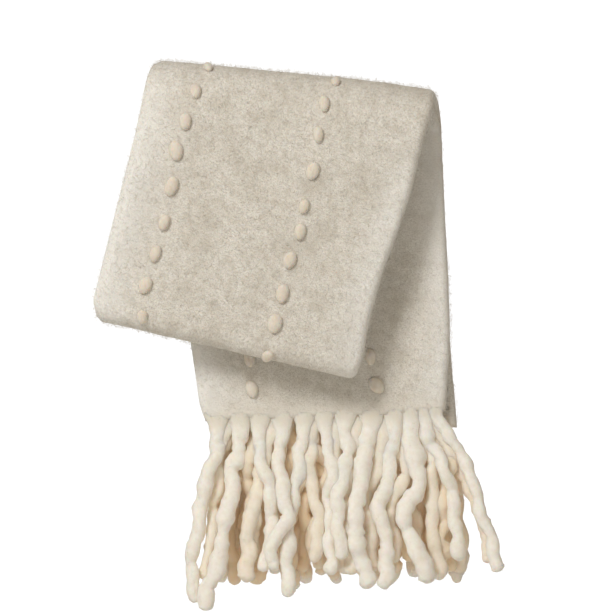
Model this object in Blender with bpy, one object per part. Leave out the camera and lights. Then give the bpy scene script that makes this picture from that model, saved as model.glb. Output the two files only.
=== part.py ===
"""A brushed mohair throw, folded in four across its width, doubled end to end and hung over a bar.

Units are metres. +X is to the viewer's right, +Y is away from the viewer and +Z is up.
The origin is the point on the inside of the top fold that rests on the bar.

The throw is one sheet. It is folded in three stages, each a function below:
the width folds into four layers, the length doubles into two runs, and the
stack of eight layers then bends over the bar, a little askew.
"""

import math
import random

import bmesh
import bpy
import numpy as np
from mathutils import Vector

# The sheet and its folds
CLOTH_THICKNESS = 0.0040
LAYER_GAP = 0.0008
FOLDED_WIDTH = 0.325
LEFT_EDGE_STEP = 0.011  # the outer layer's edge covers the inner ones by this much
EDGE_CURL = 0.0045
FLAP_LENGTH = 0.250  # from the bar's level to the lower fold
BACK_LENGTH = 0.356  # from the bar's level to the rear hem
HEM_STEP = 0.020  # the front hem of the back hangs this much higher than the rear one

# The bar's place, and how the stack lies over it
BAR_RADIUS = 0.0145
BAR_CLEARANCE = 0.0002
FLAP_SKEW = math.radians(8.5)  # the stack crosses the bar this far off square
BAR_TILT = math.radians(6.3)  # the bar's right end is lower
FLAP_CLOSING = 0.0015
BACK_CLOSING = 0.0040
CLOSING_DEPTH = 0.20
FLAP_NARROWING = 0.020
FLAP_SHEAR = 0.032  # the flap's left side is this much longer for each metre across
FLAP_SHIFT = 0.0045
RIM_DRAW = 0.0045  # the flap's right side is drawn in by this much all the way down
RIM_WAIST = 0.0085  # and by this much more at its waist
RIM_WAIST_AT = 0.74
RIM_WAIST_REACH = 0.30
BACK_NARROWING = 0.145
HEM_NARROWING = 0.22  # the share of that narrowing that comes only near the hems
NEAR_HEMS_FROM = 0.7  # of the way down the back
BACK_DRIFT = 0.015  # the back hangs this much to the right at its hem
BACK_BULGE = 0.0060  # and by this much more at its bulge
BACK_BULGE_AT = 0.70
BACK_BULGE_REACH = 0.28
REAR_DRIFT = 0.013  # near the hems the rear run hangs a little further to the right
QUICK_START = 8  # a change that starts quickly below the bar is whole this share of one down the run
SLOW_START = 2.5
SLOPE_STEP = 0.004  # the slope of a hanging run is measured over this length

# Unevenness: low waves over the stack, small ones at its hems, a rise in the top fold, and drawn-in corners
WAVE_HEIGHT = 0.0013
WAVE_ACROSS = 0.041
WAVE_ALONG = 0.052
SLANT_WAVE = 0.029
SLANT_SHARE = 0.7
WAVE_PHASES = (0.6, 1.1)  # across, along
HEM_CALM = 0.10  # the waves fade out this near the hem
HEM_WAVE = 0.0016
HEM_WAVE_LENGTH = 0.019
HEM_WAVE_PHASE = 0.8
CREST_LIFT = 0.0026
CREST_LIFT_AT = 0.045
CREST_LIFT_REACH = 0.075
CORNER_REACH = 0.050
TOP_CORNER_DRAW = 0.0035
FOLD_CORNER_DRAWS = (0.008, 0.0025)  # left, right
CORNER_FALL = 0.024  # how far along the stack a drawn-in corner at a fold reaches
CORNER_LEAD = 0.25  # the share of that reach that lies before the fold
HEM_CORNER_DRAW = 0.009
HEM_CORNER_FALL = 0.045

# The bobbles, slubs of thick yarn in lines along the length
BOBBLE_WIDTH = 0.0145
BOBBLE_LENGTH = 0.0215
BOBBLE_HEIGHT = 0.0062
BOBBLE_ROOT = 0.0018
BOBBLE_SIDES = 6
BOBBLE_PITCH = 0.0371
BOBBLE_LINES = (0.056, 0.208)  # from the left edge
HEM_LINES = (0.0705, 0.2330)  # the same, above the front hem, where the layers have slid
REAR_BOBBLES = 9
REAR_STARTS = (1.0, 0.4)  # in pitches behind the top edge
REAR_SCALES = (0.86, 1.08)
REAR_STRAY = 0.003
# Each bobble down the flap's left and right line: its drop from the top edge, how far it strays to the
# side of its line, and its size against the width and length above
FLAP_BOBBLES = (
    (
        (0.001, 0.010, 0.75), (0.029, 0.002, 0.86), (0.064, -0.003, 0.96),
        (0.098, -0.006, 1.10), (0.137, -0.001, 1.10), (0.178, 0.001, 0.92),
        (0.214, 0.000, 0.98), (0.251, -0.002, 0.98), (0.286, 0.004, 0.82),
    ),
    (
        (0.004, 0.003, 0.72), (0.031, -0.004, 0.92), (0.064, -0.004, 0.90),
        (0.105, -0.001, 1.02), (0.146, 0.000, 0.84), (0.175, 0.004, 0.96),
        (0.209, 0.001, 0.98), (0.248, 0.003, 1.06), (0.283, 0.003, 1.10),
        (0.319, 0.004, 0.86),
    ),
)
# Each bobble above the front hem, on the left and the right line: distance, stray and size
HEM_BOBBLES = (
    ((0.033, 0.000, 0.98), (0.068, 0.001, 0.95)),
    ((0.033, 0.000, 1.02), (0.065, -0.008, 0.92)),
)

# The fringe
STRIP_LENGTH = 0.006
PART_GAP = 0.0003
ROOT_WIDTH = 0.0092
STRAND_WIDTH = 0.0097
STRAND_LENGTH = 0.172
LENGTH_SHARES = (0.88, 1.02)
STRAND_GAP = 0.0020
LEVEL_STEP = 0.027
ROW_SPREAD = 0.0096
TIP_SHARE = 0.72
OUTER_ROW_STRANDS = 12
INNER_ROW_STRANDS = 8
HEM_INSET = 0.016  # the outermost strands stand this far in at the left, and a third of it at the right
ROOT_STRAY = 0.16  # of the space between two strands
FAN = 0.062  # the strands spread this much wider than the hem, about a place this share along it
FAN_MIDDLE = 0.42
LEAN_STRAY = 0.010
SWAYS = (0.003, 0.010)
SWAY_LENGTH = 0.022
SPREADING_ROUNDS = 400
LARGEST_PUSH = 0.003
FREE_PUSH = 0.4  # the share of an overlap that one push takes off
PINNED_PUSH = 0.7
SMALLEST_PUSH = 0.2  # of the largest, in the last round
CHECKED_SHARES = (0.0, 0.12, 0.25, 0.5, 0.75)  # of the way from one level to the next
SEED = 7

# The strands that show at the front. X at the root and at five depths below it, in millimetres,
# then the length and how far the strand stands in front of its row.
FRONT_DEPTHS = (0.0, 0.035, 0.070, 0.105, 0.140, 0.175)
FRONT_STRANDS = (
    # root, depth 1, depth 2, depth 3, depth 4, depth 5, length, forward
    (-85, -86, -98, -102, -107, -109, 200, 0),
    (-57, -57, -66, -75, -77, -88, 212, 6),
    (-36, -35, -23, -21, -26, -31, 168, 0),
    (-9, -10, -10, 0, -25, -16, 165, 11),
    (15, 11, 7, 1, -2, -2, 197, 5),
    (39, 43, 45, 43, 44, 47, 178, 0),
    (61, 66, 59, 54, 58, 61, 158, 3),
    (93, 85, 80, 73, 77, 87, 188, 8),
    (119, 114, 108, 103, 105, 115, 196, 6),
    (138, 138, 149, 133, 135, 156, 188, 11),
    (153, 164, 177, 184, 190, 182, 164, 3),
    (170, 189, 205, 216, 227, 238, 176, 4),
)
SECOND_STRANDS = (
    (-73, -79, -82, -85, -92, -97, 176, 0),
    (-19, -27, -39, -45, -49, -55, 180, 3),
    (26, 22, 24, 31, 31, 24, 165, 2),
    (49, 53, 56, 61, 63, 60, 178, 0),
    (77, 73, 69, 66, 65, 71, 176, 6),
    (105, 101, 95, 89, 91, 97, 172, 1),
    (129, 130, 130, 116, 116, 117, 170, 1),
    (148, 159, 160, 160, 163, 169, 184, 0),
    (162, 176, 196, 212, 221, 229, 172, 0),
)

PITCH = CLOTH_THICKNESS + LAYER_GAP
HALF = CLOTH_THICKNESS / 2
RUN_RADIUS = 2 * PITCH
STACK_HALF = 3.5 * PITCH + HALF
STACK_RADIUS = BAR_RADIUS + BAR_CLEARANCE + STACK_HALF
OUTER_RADIUS = STACK_RADIUS + STACK_HALF
LEFT = -FOLDED_WIDTH / 2
INNER_LEFT = LEFT + LEFT_EDGE_STEP
RIGHT = FOLDED_WIDTH / 2 - 1.5 * PITCH - HALF
QUARTER_TURN = math.pi / 2 * STACK_RADIUS
CREST = BACK_LENGTH + QUARTER_TURN
FOLD_AT = CREST + QUARTER_TURN + FLAP_LENGTH
OVER_REACH = QUARTER_TURN + FOLDED_WIDTH / 2 * math.tan(FLAP_SKEW)
OVER_START = CREST - OVER_REACH
OVER_END = CREST + OVER_REACH

# Cells across each part of the folded width, and along each part of the doubled length
ACROSS = (
    ("edge", 2), ("outer", 7), ("outer_turn", 4), ("inner", 4), ("left_turn", 2),
    ("middle", 3), ("inner_turn", 2), ("tucked", 3),
)
ALONG = (
    ("rear", 6), ("rear_over", 12), ("flap_front", 6), ("lower_fold", 5),
    ("flap_rear", 4), ("front_over", 9), ("front", 6),
)


def clear_scene():
    for obj in list(bpy.data.objects):
        bpy.data.objects.remove(obj, do_unlink=True)


def material(name, colour, roughness):
    made = bpy.data.materials.new(name)
    made.use_nodes = True
    shader = made.node_tree.nodes["Principled BSDF"]
    shader.inputs["Base Color"].default_value = (*colour, 1.0)
    shader.inputs["Roughness"].default_value = roughness
    shader.inputs["Metallic"].default_value = 0.0
    return made


def smooth(share):
    share = min(max(share, 0.0), 1.0)
    return share * share * (3 - 2 * share)


def bell(value, middle, reach):
    return math.exp(-(((value - middle) / reach) ** 2))


def fold_width(part, share, offset):
    """The width folded in four: (x, height in the stack) of a point on the sheet, offset from its middle."""
    turn = math.pi * share
    if part == "edge":
        return LEFT + share * LEFT_EDGE_STEP, 1.5 * PITCH + offset - EDGE_CURL * (1 - smooth(share))
    if part == "outer":
        return INNER_LEFT + share * (RIGHT - INNER_LEFT), 1.5 * PITCH + offset
    if part == "outer_turn":
        radius = 1.5 * PITCH + offset
        return RIGHT + radius * math.sin(turn), radius * math.cos(turn)
    if part == "inner":
        return RIGHT + share * (INNER_LEFT - RIGHT), -1.5 * PITCH - offset
    if part == "left_turn":
        radius = 0.5 * PITCH + offset
        return INNER_LEFT - radius * math.sin(turn), -PITCH - radius * math.cos(turn)
    if part == "middle":
        return INNER_LEFT + share * (RIGHT - INNER_LEFT), -0.5 * PITCH + offset
    if part == "inner_turn":
        radius = 0.5 * PITCH - offset
        return RIGHT + radius * math.sin(turn), -radius * math.cos(turn)
    return RIGHT + share * (INNER_LEFT - RIGHT), 0.5 * PITCH - offset


def double_length(part, share, height):
    """The length doubled: (distance from the rear hem, height in the stack of both runs)."""
    if part == "rear":
        return share * OVER_START, RUN_RADIUS + height
    if part == "rear_over":
        return OVER_START + share * (OVER_END - OVER_START), RUN_RADIUS + height
    if part == "flap_front":
        return OVER_END + share * (FOLD_AT - OVER_END), RUN_RADIUS + height
    if part == "lower_fold":
        turn = math.pi * share
        radius = RUN_RADIUS + height
        return FOLD_AT + radius * math.sin(turn), radius * math.cos(turn)
    if part == "flap_rear":
        return FOLD_AT - share * (FOLD_AT - OVER_END), -RUN_RADIUS - height
    if part == "front_over":
        return OVER_END - share * (OVER_END - OVER_START), -RUN_RADIUS - height
    return OVER_START - share * (OVER_START - HEM_STEP), -RUN_RADIUS - height


def unevenness(x, distance):
    phase_across, phase_along = WAVE_PHASES
    slow = math.sin(x / WAVE_ACROSS + phase_across) * math.sin(distance / WAVE_ALONG + phase_along)
    slant = SLANT_SHARE * math.sin((x + SLANT_SHARE * distance) / SLANT_WAVE)
    return WAVE_HEIGHT * (slow + slant) * smooth(distance / HEM_CALM)


def drape(x, distance, height):
    """The unevenness of the hung stack: how each run narrows, drifts and rounds its corners as it hangs."""
    back_span = BACK_LENGTH + QUARTER_TURN / 2
    below = max(back_span - distance, 0.0) / back_span
    ahead = max(distance - CREST, 0.0) / (FOLD_AT - CREST)
    near_side = max(1 - (FOLDED_WIDTH / 2 - abs(x)) / CORNER_REACH, 0.0) ** 2
    inward = -near_side if x > 0 else near_side
    from_crest = distance - CREST + x * math.tan(FLAP_SKEW)
    near_hem = smooth(1 - distance / HEM_CORNER_FALL)
    near_fold = smooth((distance - FOLD_AT) / CORNER_FALL + CORNER_LEAD)
    near_hems = smooth((below - NEAR_HEMS_FROM) / (1 - NEAR_HEMS_FROM))
    narrowing = BACK_NARROWING * ((1 - HEM_NARROWING) * smooth(below) + HEM_NARROWING * near_hems)
    moved = x * (1 - narrowing - FLAP_NARROWING * ahead)
    moved += BACK_DRIFT * below + FLAP_SHIFT * smooth(SLOW_START * ahead)
    moved += BACK_BULGE * bell(below, BACK_BULGE_AT, BACK_BULGE_REACH) * smooth(QUICK_START * below)
    moved += REAR_DRIFT * near_hems if height > 0 else 0.0
    moved += inward * TOP_CORNER_DRAW * bell(from_crest, 0.0, CORNER_FALL)
    moved += inward * FOLD_CORNER_DRAWS[x > 0] * near_fold
    waist = RIM_WAIST * bell(ahead, RIM_WAIST_AT, RIM_WAIST_REACH)
    moved -= smooth(2 * x / FOLDED_WIDTH) * (RIM_DRAW + waist) * smooth(QUICK_START * ahead)
    moved += max(inward, 0.0) * HEM_CORNER_DRAW * near_hem
    distance = distance - FLAP_SHEAR * x * smooth(ahead)
    hem_wave = math.sin(x / HEM_WAVE_LENGTH + HEM_WAVE_PHASE)
    distance += HEM_WAVE * smooth(1 - distance / HEM_CALM) * hem_wave
    return moved, distance, height + unevenness(x, distance)


def hang_over_bar(x, distance, height):
    """The stack hung over the bar: a point in space from its place across, along and through the stack."""
    x, distance, height = drape(x, distance, height)
    along_bar = x * math.cos(FLAP_SKEW) - (distance - CREST) * math.sin(FLAP_SKEW)
    round_bar = x * math.sin(FLAP_SKEW) + (distance - CREST) * math.cos(FLAP_SKEW)
    if abs(round_bar) <= QUARTER_TURN:
        angle = round_bar / STACK_RADIUS
        middle = (-STACK_RADIUS * math.sin(angle), STACK_RADIUS * math.cos(angle))
        normal = (-math.sin(angle), math.cos(angle))
    else:
        side = -1 if round_bar > 0 else 1
        closing = FLAP_CLOSING if round_bar > 0 else BACK_CLOSING
        drop = abs(round_bar) - QUARTER_TURN
        y = STACK_RADIUS - closing * smooth(drop / CLOSING_DEPTH)
        y_lower = STACK_RADIUS - closing * smooth((drop + SLOPE_STEP) / CLOSING_DEPTH)
        slope = math.atan2(y - y_lower, SLOPE_STEP)
        middle = (side * y, -drop)
        normal = (side * math.cos(slope), -math.sin(slope))
    y = middle[0] + height * normal[0]
    z = middle[1] + height * normal[1]
    lift = CREST_LIFT * bell(along_bar, CREST_LIFT_AT, CREST_LIFT_REACH)
    z = z + lift * smooth(0.5 + z / (2 * STACK_RADIUS))
    return Vector((
        along_bar * math.cos(BAR_TILT) + z * math.sin(BAR_TILT),
        y,
        -along_bar * math.sin(BAR_TILT) + z * math.cos(BAR_TILT) - BAR_RADIUS - BAR_CLEARANCE,
    ))


def sheet_point(across, along, offset):
    """A point of the throw: its (part, share) across and along, and its offset from the sheet's middle."""
    x, height = fold_width(*across, offset)
    distance, height = double_length(*along, height)
    return hang_over_bar(x, distance, height)


def stations(parts):
    """(part, share) at the ends of every cell, with the joins between parts given once."""
    found = [(parts[0][0], 0.0)]
    for name, cells in parts:
        found += [(name, (i + 1) / cells) for i in range(cells)]
    return found


def make_object(name, points, faces, finish):
    mesh = bpy.data.meshes.new(name)
    mesh.from_pydata([tuple(p) for p in points], [], faces)
    mesh.validate()
    mesh.materials.append(finish)
    obj = bpy.data.objects.new(name, mesh)
    bpy.context.scene.collection.objects.link(obj)
    return obj


def face_outwards(obj):
    work = bmesh.new()
    work.from_mesh(obj.data)
    bmesh.ops.recalc_face_normals(work, faces=work.faces)
    if work.calc_volume(signed=True) < 0:
        bmesh.ops.reverse_faces(work, faces=work.faces)
    work.to_mesh(obj.data)
    work.free()
    obj.data.shade_smooth()
    obj.data.set_sharp_from_angle(angle=math.radians(50))


def closed_sheet(across, along, point_at):
    """Points and faces of a sheet with two sides and a rim, from its stations across and along."""
    columns, rows = len(across), len(along)
    points = [
        point_at(a, b, side * HALF) for side in (1, -1) for b in along for a in across
    ]

    def index(side, row, column):
        return (side * rows + row) * columns + column

    faces = []
    for row in range(rows - 1):
        for column in range(columns - 1):
            ring = [(row, column), (row, column + 1), (row + 1, column + 1), (row + 1, column)]
            faces.append([index(0, *corner) for corner in ring])
            faces.append([index(1, *corner) for corner in reversed(ring)])
    border = [(0, c) for c in range(columns)] + [(r, columns - 1) for r in range(1, rows)]
    border += [(rows - 1, c) for c in range(columns - 2, -1, -1)]
    border += [(r, 0) for r in range(rows - 2, 0, -1)]
    for here, after in zip(border, border[1:] + border[:1]):
        faces.append([index(0, *after), index(0, *here), index(1, *here), index(1, *after)])
    return points, faces, index


def station_at(distance):
    """The (part, share) along the length of a point on the outer run, at this distance from the rear hem."""
    if distance < OVER_START:
        return "rear", distance / OVER_START
    if distance < OVER_END:
        return "rear_over", (distance - OVER_START) / (OVER_END - OVER_START)
    if distance < FOLD_AT:
        return "flap_front", (distance - OVER_END) / (FOLD_AT - OVER_END)
    rise = (distance - FOLD_AT) / (RUN_RADIUS + 1.5 * PITCH + HALF)
    return "lower_fold", math.asin(min(rise, 1.0)) / math.pi


def flap_distance(x, drop):
    """The distance from the rear hem of a point on the flap's face, this far down it from the top edge."""
    square_drop = drop * math.cos(FLAP_SKEW)
    if square_drop < OUTER_RADIUS:
        bend = STACK_RADIUS * math.acos(1 - square_drop / OUTER_RADIUS)
    else:
        bend = QUARTER_TURN + square_drop - OUTER_RADIUS
    return CREST - x * math.tan(FLAP_SKEW) + bend / math.cos(FLAP_SKEW)


def face_frame(x, along):
    """The outer face at a place: its point, outward normal, and its directions across and along."""
    part, share = along
    across = (x - INNER_LEFT) / (RIGHT - INNER_LEFT)
    step = 0.01
    here = sheet_point(("outer", across), along, HALF)
    sideways = (sheet_point(("outer", across + step), along, HALF) - here).normalized()
    lengthways = (sheet_point(("outer", across), (part, share + step), HALF) - here).normalized()
    normal = (here - sheet_point(("outer", across), along, -HALF)).normalized()
    return here, normal, sideways, lengthways


def bobble_places(chooser):
    """(x, place along, size) of each bobble that shows."""
    found = []
    for line, left in enumerate(BOBBLE_LINES):
        x = LEFT + left
        for drop, stray, size in FLAP_BOBBLES[line]:
            found.append((x + stray, station_at(flap_distance(x, drop)), size))
        for i in range(REAR_BOBBLES):
            behind = BOBBLE_PITCH * (i + REAR_STARTS[line]) + chooser.uniform(-REAR_STRAY, REAR_STRAY)
            found.append((x, station_at(flap_distance(x, 0.0) - behind), chooser.uniform(*REAR_SCALES)))
        for distance, stray, size in HEM_BOBBLES[line]:
            share = 1 - distance / (OVER_START - HEM_STEP)
            found.append((LEFT + HEM_LINES[line] + stray, ("front", share), size))
    return found


def bobbles_mesh(finish):
    """Every bobble as a low dome rooted in the cloth, on levels given by height and share of the width."""
    points, faces = [], []
    levels = ((-BOBBLE_ROOT, 0.80), (0.32 * BOBBLE_HEIGHT, 1.0), (BOBBLE_HEIGHT, 0.5))
    for x, place, size in bobble_places(random.Random(SEED)):
        here, normal, across, along = face_frame(x, place)
        start = len(points)
        for height, share in levels:
            for i in range(BOBBLE_SIDES):
                turn = 2 * math.pi * (i + 0.5) / BOBBLE_SIDES
                sideways = across * (math.cos(turn) * share * size * BOBBLE_WIDTH / 2)
                lengthways = along * (math.sin(turn) * share * size * BOBBLE_LENGTH / 2)
                points.append(here + normal * height + sideways + lengthways)
        for level in range(len(levels) - 1):
            for i in range(BOBBLE_SIDES):
                low = start + level * BOBBLE_SIDES
                after = (i + 1) % BOBBLE_SIDES
                faces.append([low + i, low + after, low + BOBBLE_SIDES + after, low + BOBBLE_SIDES + i])
        faces.append([start + i for i in reversed(range(BOBBLE_SIDES))])
        top = start + (len(levels) - 1) * BOBBLE_SIDES
        faces.append([top + i for i in range(BOBBLE_SIDES)])
    obj = make_object("bobble_domes", points, faces, finish)
    obj.hide_render = True
    obj.display_type = "WIRE"
    return obj


def throw_cloth(finish):
    """The whole woven throw as one folded sheet, with its bobbles joined on."""
    points, faces, _ = closed_sheet(stations(ACROSS), stations(ALONG), sheet_point)
    cloth = make_object("throw_cloth", points, faces, finish)
    face_outwards(cloth)
    domes = bobbles_mesh(finish)
    face_outwards(domes)
    join = cloth.modifiers.new("bobbles", "BOOLEAN")
    join.operation = "UNION"
    join.object = domes
    return cloth


def strand_rows(end):
    """The strands of one hem by layer, outermost first: (part of the width, row, height, strands)."""
    chooser = random.Random(SEED + (1 if end == "front" else 2))
    outward = -1 if end == "front" else 1
    rows = []
    tables = {"outer": FRONT_STRANDS, "tucked": SECOND_STRANDS} if end == "front" else {}
    heights = {"outer": 1.5, "tucked": 0.5, "middle": -0.5, "inner": -1.5}
    for depth, (part, layer) in enumerate(heights.items()):
        height = outward * (RUN_RADIUS + layer * PITCH)
        strands = []
        for entry in tables.get(part, ()):
            xs = [value / 1000 for value in entry[:6]]
            strands.append((xs, entry[6] / 1000, entry[7] / 1000, True))
        if not strands:
            count = OUTER_ROW_STRANDS if part == "outer" else INNER_ROW_STRANDS
            left, right = hem_ends(end)
            step = (right - left) / count
            for i in range(count):
                root = left + (i + 0.5 + chooser.uniform(-ROOT_STRAY, ROOT_STRAY)) * step
                share = (root - left) / (right - left)
                lean = FAN * (share - FAN_MIDDLE) + chooser.uniform(-LEAN_STRAY, LEAN_STRAY)
                sway = chooser.uniform(*SWAYS) * chooser.choice((-1, 1))
                phase = chooser.uniform(0, 2 * math.pi)
                xs = [
                    root + lean * d / FRONT_DEPTHS[-1]
                    + sway * (math.sin(d / SWAY_LENGTH + phase) - math.sin(phase))
                    for d in FRONT_DEPTHS
                ]
                strands.append((xs, STRAND_LENGTH * chooser.uniform(*LENGTH_SHARES), 0.0, False))
        rows.append((part, depth, height, strands))
    return rows


def hem_distance(end):
    return HEM_STEP if end == "front" else 0.0


def hem_ends(end):
    """X of the hem's left and right ends, a strand's width in from them."""
    outward = -1 if end == "front" else 1
    height = outward * (RUN_RADIUS + PITCH)
    left = hang_over_bar(LEFT + HEM_INSET, hem_distance(end), height)
    right = hang_over_bar(RIGHT - HEM_INSET / 3, hem_distance(end), height)
    return left.x, right.x


def width_at(target_x, end, height):
    """The place across the stack whose hem point has this X."""
    low, high = LEFT, RIGHT
    for _ in range(30):
        middle = (low + high) / 2
        if hang_over_bar(middle, hem_distance(end), height).x < target_x:
            low = middle
        else:
            high = middle
    return (low + high) / 2


def strip_share(part, x):
    """How far along a part of the folded width this place is."""
    start, stop = (RIGHT, INNER_LEFT) if part in ("inner", "tucked") else (INNER_LEFT, RIGHT)
    return (x - start) / (stop - start)


def plan_fringe(end):
    """The strip's stations across, and each strand with the station that it starts at."""
    rows = {part: (depth, height, strands) for part, depth, height, strands in strand_rows(end)}
    across, planned = [("edge", 0.0)], []
    half_root = ROOT_WIDTH / 2
    furthest = (INNER_LEFT + half_root + PART_GAP, RIGHT - half_root - PART_GAP)
    for part, cells in ACROSS:
        corners = [(i + 1) / cells for i in range(cells)]
        if part in rows:
            depth, height, strands = rows[part]
            places = [float(np.clip(width_at(s[0][0], end, height), *furthest)) for s in strands]
            backwards = part in ("inner", "tucked")
            toward = -half_root if backwards else half_root
            for x, strand in sorted(zip(places, strands), reverse=backwards):
                start, stop = strip_share(part, x - toward), strip_share(part, x + toward)
                across += [(part, corner) for corner in corners if corner < start]
                across += [(part, start), (part, stop)]
                corners = [corner for corner in corners if corner > stop]
                planned.append((len(across) - 2, depth, height, x, strand))
        across += [(part, corner) for corner in corners]
    return across, planned


def strip_point(end):
    """Where the strip below a hem lies: straight between the stations of the cloth's own hem."""
    outward = -1 if end == "front" else 1
    cells = dict(ACROSS)

    def point(across, along, offset):
        part, share = across
        distance = hem_distance(end) - PART_GAP - along[1] * STRIP_LENGTH
        cell = min(int(share * cells[part] + 1e-6), cells[part] - 1)
        corners = []
        for step in (0, 1):
            x, height = fold_width(part, (cell + step) / cells[part], offset)
            corners.append(hang_over_bar(x, distance, outward * (RUN_RADIUS + height)))
        return corners[0].lerp(corners[1], share * cells[part] - cell)

    return point


def first_routes(strands, levels):
    """Each strand's place on every level before the strands push one another apart."""
    places = np.zeros((len(strands), len(levels), 2))
    for i, strand in enumerate(strands):
        root = strand["root"]
        for k, z in enumerate(levels):
            x = np.interp(root.z - z, FRONT_DEPTHS, strand["xs"])
            spread = (strand["row"] - 3.5) * ROW_SPREAD + strand["middle_y"] - strand["forward"]
            y = root.y + smooth(k / 4) * (spread - root.y)
            places[i, k] = (x, y)
    return places


def push_apart(places, needed, ranks, pinned, used):
    """Moves strands that overlap, on the levels and between them, sideways or into their rank."""
    order = np.sign(ranks[:, None] - ranks[None])[:, :, None]
    both_pinned = (pinned[:, None] & pinned[None])[:, :, None]
    for turn in range(SPREADING_ROUNDS):
        largest = LARGEST_PUSH * (1 - (1 - SMALLEST_PUSH) * turn / SPREADING_ROUNDS)
        for share in CHECKED_SHARES:
            here = places[:, :-1] * (1 - share) + places[:, 1:] * share
            size = needed[:-1] * (1 - share) + needed[1:] * share
            apart = here[:, None] - here[None]
            overlap = size - np.abs(apart)
            clash = (overlap > 0).all(axis=3) & used[:, None, 1:] & used[None, :, 1:]
            clash[np.arange(len(places)), np.arange(len(places))] = False
            depth_move = size[:, 1] - apart[..., 1] * order
            along_x = ((overlap[..., 0] < depth_move) | (order == 0)) & ~both_pinned
            weight = np.where(pinned[None, :, None], PINNED_PUSH, FREE_PUSH) * clash
            side = np.where(apart[..., 0] < 0, -1.0, 1.0)
            move = np.zeros_like(here)
            move[..., 0] = (side * overlap[..., 0] * weight * along_x).sum(axis=1)
            move[..., 1] = (order * depth_move * weight * ~along_x).sum(axis=1)
            move[pinned, :, 0] = 0.0
            move = np.clip(move, -largest, largest)
            places[:, 1:] += move * max(share, 0.25)
            places[:, 1:-1] += move[:, 1:] * (1 - share)
    return places


def all_strands():
    """Every strand of both ends, with its root, its row from the front and its settled route."""
    strands = []
    for end in ("front", "rear"):
        _, planned = plan_fringe(end)
        for station, depth, height, x, (xs, length, forward, pinned) in planned:
            root = hang_over_bar(x, hem_distance(end) - STRIP_LENGTH - PART_GAP, height)
            strands.append({
                "end": end, "station": station, "root": root, "xs": xs, "length": length,
                "forward": forward, "pinned": pinned, "middle_y": hang_over_bar(x, 0.0, 0.0).y,
                "row": depth if end == "front" else 7 - depth,
            })
    top = min(s["root"].z for s in strands) - 0.002
    lowest = min(s["root"].z - s["length"] for s in strands)
    levels = [top - LEVEL_STEP * k for k in range(math.ceil((top - lowest) / LEVEL_STEP) + 1)]
    needed = np.full((len(levels), 2), STRAND_WIDTH + STRAND_GAP)
    needed[0] = (ROOT_WIDTH, CLOTH_THICKNESS)
    pinned = np.array([s["pinned"] for s in strands])
    used = np.array([[z > s["root"].z - s["length"] - LEVEL_STEP for z in levels] for s in strands])
    ranks = np.array([s["row"] - s["forward"] / ROW_SPREAD for s in strands])
    places = push_apart(first_routes(strands, levels), needed, ranks, pinned, used)
    for i, strand in enumerate(strands):
        strand["route"] = strand_route(strand, levels, places[i], used[i])
    return strands


def strand_route(strand, levels, places, used):
    """The strand's centre points from below its root to its tip."""
    tip_z = strand["root"].z - strand["length"]
    route = []
    for z, place, on in zip(levels, places, used):
        if not on:
            break
        point = Vector((place[0], place[1], z))
        if z < tip_z:
            share = (route[-1].z - tip_z) / (route[-1].z - z)
            if share > 0.25:
                route.append(route[-1].lerp(point, share))
            break
        route.append(point)
    return route


def strand_ring(route, k):
    """The four corners of a strand at a point of its route, by their sides: right or left, back or front."""
    half_width = (ROOT_WIDTH if k == 0 else STRAND_WIDTH) / 2
    half_depth = (CLOTH_THICKNESS if k == 0 else STRAND_WIDTH) / 2
    narrowing = TIP_SHARE if k == len(route) - 1 else 1.0
    return {
        (right, back): route[k] + narrowing * Vector((right * half_width, back * half_depth, 0))
        for right in (-1, 1)
        for back in (-1, 1)
    }


def fringe(name, end, strands, finish):
    """One hem's strip of cloth with its strands drawn out of the strip's lower edge."""
    across, _ = plan_fringe(end)
    points, faces, index = closed_sheet(across, [("strip", 0.0), ("strip", 1.0)], strip_point(end))
    roots = {}
    for strand in strands:
        if strand["end"] != end:
            continue
        column = strand["station"]
        corners = [index(side, 1, column + step) for side, step in ((0, 0), (0, 1), (1, 1), (1, 0))]
        roots[frozenset(corners)] = (corners, strand)
    faces = [face for face in faces if frozenset(face) not in roots]
    for corners, strand in roots.values():
        middle = sum((points[c] for c in corners), Vector()) / 4
        signs = []
        for corner in corners:
            away = points[corner] - middle
            signs.append((1 if away.x > 0 else -1, 1 if away.y > 0 else -1))
        ring = corners
        for k in range(len(strand["route"])):
            places = strand_ring(strand["route"], k)
            start = len(points)
            points += [places[sign] for sign in signs]
            lower = [start + i for i in range(4)]
            for i in range(4):
                after = (i + 1) % 4
                faces.append([ring[i], ring[after], lower[after], lower[i]])
            ring = lower
        faces.append(list(reversed(ring)))
    obj = make_object(name, points, faces, finish)
    face_outwards(obj)
    return obj


def main():
    clear_scene()
    brushed = material("brushed_mohair", (0.74, 0.69, 0.60), 0.95)
    roving = material("soft_roving", (0.82, 0.76, 0.66), 0.95)
    throw_cloth(brushed)
    strands = all_strands()
    fringe("front_fringe", "front", strands, roving)
    fringe("rear_fringe", "rear", strands, roving)


main()
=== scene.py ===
import math
import random

import bpy
import numpy as np
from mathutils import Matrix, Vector, noise


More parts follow.
